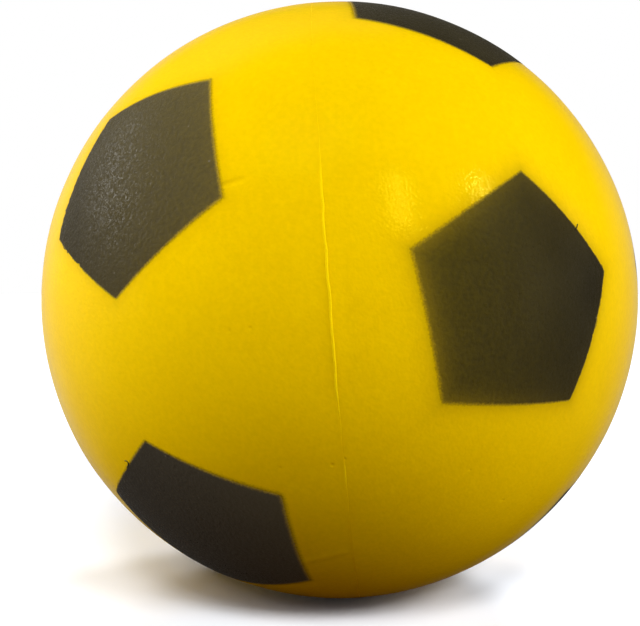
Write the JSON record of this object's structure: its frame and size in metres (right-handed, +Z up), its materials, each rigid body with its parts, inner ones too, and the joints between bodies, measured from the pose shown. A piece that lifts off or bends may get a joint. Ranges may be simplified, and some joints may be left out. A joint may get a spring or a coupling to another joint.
{
  "type": "foam soccer ball",
  "caption": "Round soft foam soccer ball with a smooth yellow moulded skin, a fine parting line and sprayed black pentagons.",
  "frame": {"origin": "centre of the flattened spot that the ball lies on, straight under the ball's centre", "axes": "+Z up out of the floor, -Y towards the side the picture shows, +X to that side's right; the mould's axis lies about along X"},
  "size_m": [0.2006, 0.2004, 0.1995],
  "materials": {
    "yellow_foam": "matte",
    "yellow_skin": "satin",
    "black_paint": "matte"
  },
  "bodies": {
    "root": {"foam_core": "yellow_foam", "skin_left": "yellow_skin", "skin_right": "yellow_skin", "pentagon_left_pole": "black_paint", "pentagon_left_1": "black_paint", "pentagon_left_2": "black_paint", "pentagon_left_3": "black_paint", "pentagon_left_4": "black_paint", "pentagon_left_5": "black_paint", "pentagon_right_pole": "black_paint", "pentagon_right_1": "black_paint", "pentagon_right_2": "black_paint", "pentagon_right_3": "black_paint", "pentagon_right_4": "black_paint", "pentagon_right_5": "black_paint"}
  },
  "joints": []
}
